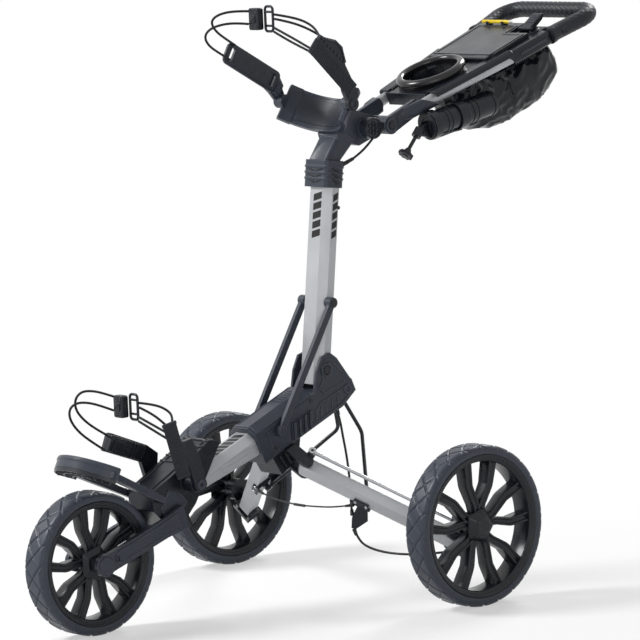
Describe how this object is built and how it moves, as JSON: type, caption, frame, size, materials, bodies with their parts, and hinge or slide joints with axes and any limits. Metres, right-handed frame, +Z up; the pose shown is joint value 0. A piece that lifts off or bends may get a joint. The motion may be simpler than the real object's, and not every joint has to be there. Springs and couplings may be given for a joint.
{
  "type": "golf push cart",
  "caption": "Folding three-wheel push cart for a golf bag, with leaning mast, strap cradles, console handle with cup holder, umbrella tube and hanging pouch.",
  "frame": {"origin": "on the ground under the middle of the cart's bounding box", "axes": "+Z up, the cart rolls towards -Y, +X is the cart's left side"},
  "size_m": [0.7552, 1.3166, 1.084],
  "materials": {
    "tyre": "moulded rubber with a criss-cross tread",
    "rim": "black moulded rim",
    "silver": "satin silver extrusion",
    "charcoal": "dark grey moulding",
    "black": "black moulding",
    "steel": "plated pins and rods",
    "grip": "textured grip",
    "cord": "braided elastic cord",
    "nylon": "woven black nylon"
  },
  "bodies": {
    "frame": {"front_tube": "silver", "casting_left": "charcoal", "casting_right": "charcoal", "housing_hood": "charcoal", "leg_bracket": "black", "front_bracket": "charcoal", "front_fork": "charcoal", "lower_bag_rest": "charcoal", "frame_pins": "steel", "lower_brake_cable": "black", "cross_cable": "black"},
    "mast": {"mast_tube": "silver", "mast_collar": "charcoal", "neck": "charcoal", "upper_yoke": "black", "mast_pins": "steel", "upper_brake_cable": "black"},
    "strut_left": {"strut_left": "charcoal"},
    "strut_right": {"strut_right": "charcoal"},
    "left_leg": {"left_leg": "silver", "left_leg_clamp": "black", "left_hub_cable": "black"},
    "right_leg": {"right_leg": "silver", "right_leg_clamp": "black"},
    "left_tie": {"left_tie_rod": "steel"},
    "right_tie": {"right_tie_rod": "steel"},
    "left_link": {"left_link": "steel"},
    "right_link": {"right_link": "steel"},
    "left_carrier": {"left_hub_carrier": "black"},
    "right_carrier": {"right_hub_carrier": "black"},
    "front_wheel": {"front_tyre": "tyre", "front_rim": "rim"},
    "left_wheel": {"left_tyre": "tyre", "left_rim": "rim", "left_hub_cap": "rim"},
    "right_wheel": {"right_tyre": "tyre", "right_rim": "rim", "right_hub_cap": "rim"},
    "handle": {"handle_rails": "silver", "handle_knuckles": "charcoal", "console_tray": "black", "cup_holder": "charcoal", "handle_loop": "grip", "umbrella_tube": "black", "umbrella_bracket": "black", "storage_bag": "nylon"},
    "lid": {"console_lid": "charcoal"},
    "brake": {"brake_lever": "black"},
    "knob": {"umbrella_knob": "black"},
    "upper_right_arm": {"upper_arm_right": "black", "upper_buckle": "black", "upper_cords": "cord"},
    "upper_left_arm": {"upper_arm_left": "black", "upper_webbing": "nylon"},
    "lower_right_arm": {"lower_arm_right": "black", "lower_buckle": "black", "lower_cords": "cord"},
    "lower_left_arm": {"lower_arm_left": "black", "lower_webbing": "nylon"}
  },
  "joints": [
    {"name": "mast_fold", "type": "hinge", "parent": "frame", "child": "mast", "pos_m": [0, 0.00489, 0.41049], "axis": [1, 0, 0], "range_deg": [0, 68], "deforming": ["lower_brake_cable", "left_hub_cable", "cross_cable"]},
    {"name": "strut_left_turn", "type": "hinge", "parent": "mast", "child": "strut_left", "pos_m": [0, 0.02, 0.53356], "axis": [1, 0, 0], "range_deg": [-80, 0]},
    {"name": "strut_right_turn", "type": "hinge", "parent": "mast", "child": "strut_right", "pos_m": [0, 0.02, 0.53356], "axis": [1, 0, 0], "range_deg": [-80, 0]},
    {"name": "left_leg_fold", "type": "hinge", "parent": "frame", "child": "left_leg", "pos_m": [0.06, -0.07558, 0.24433], "axis": [-0.6098, 0.3097, -0.7295], "range_deg": [0, 97.14]},
    {"name": "right_leg_fold", "type": "hinge", "parent": "frame", "child": "right_leg", "pos_m": [-0.06, -0.07558, 0.24433], "axis": [-0.6098, -0.3097, 0.7295], "range_deg": [0, 97.14]},
    {"name": "left_tie_turn", "type": "hinge", "parent": "frame", "child": "left_tie", "pos_m": [0.05561, -0.05922, 0.25495], "axis": [-0.6098, 0.3097, -0.7295], "range_deg": [0, 97.14]},
    {"name": "right_tie_turn", "type": "hinge", "parent": "frame", "child": "right_tie", "pos_m": [-0.05561, -0.05922, 0.25495], "axis": [-0.6098, -0.3097, 0.7295], "range_deg": [0, 97.14]},
    {"name": "left_carrier_turn", "type": "hinge", "parent": "left_leg", "child": "left_carrier", "pos_m": [0.2885, 0.0697, 0.115], "axis": [-0.6098, 0.3097, -0.7295], "range_deg": [-97.14, 0]},
    {"name": "right_carrier_turn", "type": "hinge", "parent": "right_leg", "child": "right_carrier", "pos_m": [-0.2885, 0.0697, 0.115], "axis": [-0.6098, -0.3097, 0.7295], "range_deg": [-97.14, 0]},
    {"name": "left_link_turn", "type": "hinge", "parent": "left_leg", "child": "left_link", "pos_m": [0.14108, 0.00037, 0.17591], "axis": [-0.6098, 0.3097, -0.7295], "range_deg": [-63.14, 0]},
    {"name": "right_link_turn", "type": "hinge", "parent": "right_leg", "child": "right_link", "pos_m": [-0.14108, 0.00037, 0.17591], "axis": [-0.6098, -0.3097, 0.7295], "range_deg": [-63.14, 0]},
    {"name": "front_wheel_spin", "type": "hinge", "parent": "frame", "child": "front_wheel", "pos_m": [0, -0.5303, 0.128], "axis": [1, 0, 0], "continuous": true},
    {"name": "left_wheel_spin", "type": "hinge", "parent": "left_carrier", "child": "left_wheel", "pos_m": [0.3505, 0.0697, 0.146], "axis": [1, 0, 0], "continuous": true},
    {"name": "right_wheel_spin", "type": "hinge", "parent": "right_carrier", "child": "right_wheel", "pos_m": [-0.3505, 0.0697, 0.146], "axis": [1, 0, 0], "continuous": true},
    {"name": "handle_fold", "type": "hinge", "parent": "mast", "child": "handle", "pos_m": [0, 0.16966, 0.84791], "axis": [-1, 0, 0], "range_deg": [0, 100]},
    {"name": "console_lid_turn", "type": "hinge", "parent": "handle", "child": "lid", "pos_m": [0, 0.39449, 0.95471], "axis": [1, 0, 0], "range_deg": [0, 95]},
    {"name": "brake_lever_turn", "type": "hinge", "parent": "handle", "child": "brake", "pos_m": [0.058, 0.51761, 1.00234], "axis": [1, 0, 0], "range_deg": [0, 40]},
    {"name": "umbrella_knob_turn", "type": "hinge", "parent": "handle", "child": "knob", "pos_m": [0.076, 0.21666, 0.83191], "axis": [0, -0.6494, -0.7604], "continuous": true},
    {"name": "upper_right_arm_turn", "type": "hinge", "parent": "mast", "child": "upper_right_arm", "pos_m": [0, 0.03563, 0.8985], "axis": [1, 0, 0], "range_deg": [-20, 15]},
    {"name": "upper_left_arm_turn", "type": "hinge", "parent": "mast", "child": "upper_left_arm", "pos_m": [0, 0.03563, 0.8985], "axis": [1, 0, 0], "range_deg": [-20, 15]},
    {"name": "lower_right_arm_turn", "type": "hinge", "parent": "frame", "child": "lower_right_arm", "pos_m": [0, -0.3323, 0.248], "axis": [1, 0, 0], "range_deg": [-15, 8]},
    {"name": "lower_left_arm_turn", "type": "hinge", "parent": "frame", "child": "lower_left_arm", "pos_m": [0, -0.3323, 0.248], "axis": [1, 0, 0], "range_deg": [-15, 8]}
  ],
  "couplings": [
    {"joint": "strut_left_turn", "follows": "mast_fold", "ratio": -1.04},
    {"joint": "left_leg_fold", "follows": "mast_fold", "ratio": 1.4285},
    {"joint": "left_tie_turn", "follows": "mast_fold", "ratio": 1.4285},
    {"joint": "left_carrier_turn", "follows": "mast_fold", "ratio": -1.4285},
    {"joint": "left_link_turn", "follows": "mast_fold", "ratio": -0.92853},
    {"joint": "strut_right_turn", "follows": "mast_fold", "ratio": -1.04},
    {"joint": "right_leg_fold", "follows": "mast_fold", "ratio": 1.4285},
    {"joint": "right_tie_turn", "follows": "mast_fold", "ratio": 1.4285},
    {"joint": "right_carrier_turn", "follows": "mast_fold", "ratio": -1.4285},
    {"joint": "right_link_turn", "follows": "mast_fold", "ratio": -0.92853},
    {"joint": "upper_left_arm_turn", "follows": "upper_right_arm_turn", "ratio": 1},
    {"joint": "lower_left_arm_turn", "follows": "lower_right_arm_turn", "ratio": 1}
  ]
}
